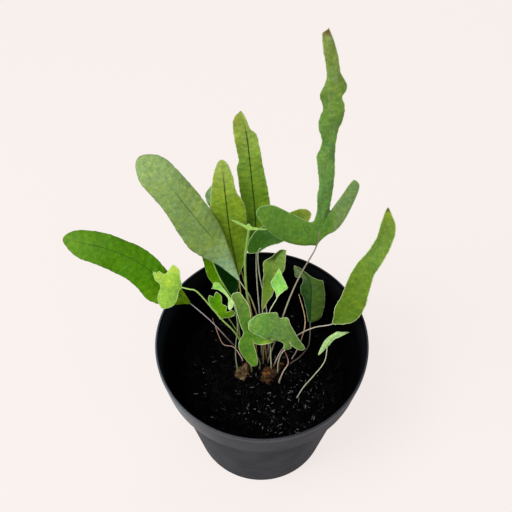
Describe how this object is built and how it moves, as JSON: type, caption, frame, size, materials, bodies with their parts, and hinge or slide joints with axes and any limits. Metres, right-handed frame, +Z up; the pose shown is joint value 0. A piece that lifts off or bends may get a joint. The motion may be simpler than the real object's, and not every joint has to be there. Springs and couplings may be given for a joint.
{
  "type": "potted blue star fern",
  "caption": "Young fern with wavy, simple and lobed fronds on a creeping rhizome, growing in soil in a round plastic nursery pot.",
  "frame": {"origin": "middle of the pot's foot, on the surface that the pot stands on", "axes": "+Z up, -Y to the side that the picture was taken from, +X to the right seen from there"},
  "size_m": [0.1799, 0.1238, 0.2791],
  "materials": {
    "pot_plastic": "smooth dark grey moulded plastic, satin outside",
    "soil": "loose dark bark, coir and peat, dull",
    "rhizome": "knobbly, covered with golden-brown scales",
    "leaf_green": "soft satin leaf, mid green, fine pale margin",
    "leaf_bluish": "powdery blue-green leaf, dull satin",
    "leaf_olive": "yellow-green leaf with a dark midrib, satin",
    "leaf_young": "young, light yellow-green leaf, satin",
    "leaf_shaded": "deep bluish-green leaf, satin",
    "dry_stalk": "dry tan stalk, dull"
  },
  "bodies": {
    "root": {"pot": "pot_plastic", "soil": "soil", "rhizome": "rhizome", "frond_left": "leaf_green", "frond_big": "leaf_bluish", "frond_mid": "leaf_olive", "frond_back": "leaf_olive", "frond_tall": "leaf_green", "frond_right": "leaf_olive", "frond_inner_right": "leaf_bluish", "frond_shaded": "leaf_shaded", "frond_hidden": "leaf_bluish", "frond_twisted": "leaf_green", "frond_bright": "leaf_young", "frond_hooded": "leaf_shaded", "frond_centre": "leaf_green", "frond_pale": "leaf_young", "frond_trefoil": "leaf_green", "frond_clover": "leaf_young", "frond_curled": "leaf_young", "frond_unfurling": "leaf_olive", "frond_edge": "leaf_young", "straw_right": "dry_stalk", "straw_left": "dry_stalk", "straw_dried": "dry_stalk"}
  },
  "joints": []
}
